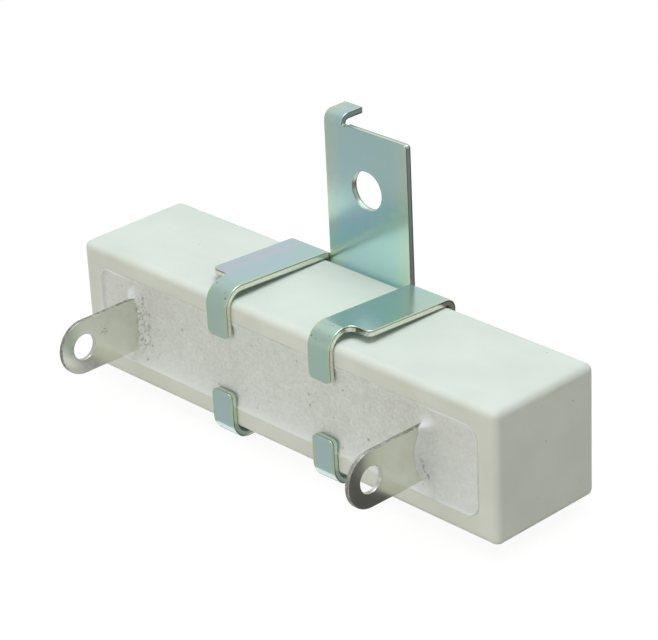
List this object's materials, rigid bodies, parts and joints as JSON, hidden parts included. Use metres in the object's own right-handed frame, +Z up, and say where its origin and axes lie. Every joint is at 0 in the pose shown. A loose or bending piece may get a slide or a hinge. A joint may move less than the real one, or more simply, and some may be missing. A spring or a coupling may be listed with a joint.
{
  "type": "cement resistor",
  "caption": "Wirewound power resistor potted in a white ceramic trough, with flat solder lugs at the front and a folded steel bracket with a screw tab behind.",
  "frame": {"origin": "centre of the bracket's screw hole, on the rear face of the tab", "axes": "+X along the resistor's length, +Y out of the tab's rear face into the panel it is screwed to, +Z up along the tab"},
  "size_m": [0.06, 0.0277, 0.0326],
  "materials": {
    "ceramic": "satin",
    "cement": "matte",
    "core": "matte",
    "nichrome": "satin",
    "cap_steel": "satin",
    "tinned_lug": "satin",
    "zinc_steel": "satin"
  },
  "bodies": {
    "root": {"ceramic_case": "ceramic", "cement_fill": "cement", "core_rod": "core", "resistance_wire": "nichrome", "end_cap_left": "cap_steel", "end_cap_right": "cap_steel", "lug_left": "tinned_lug", "lug_right": "tinned_lug", "mounting_bracket": "zinc_steel"}
  },
  "joints": []
}
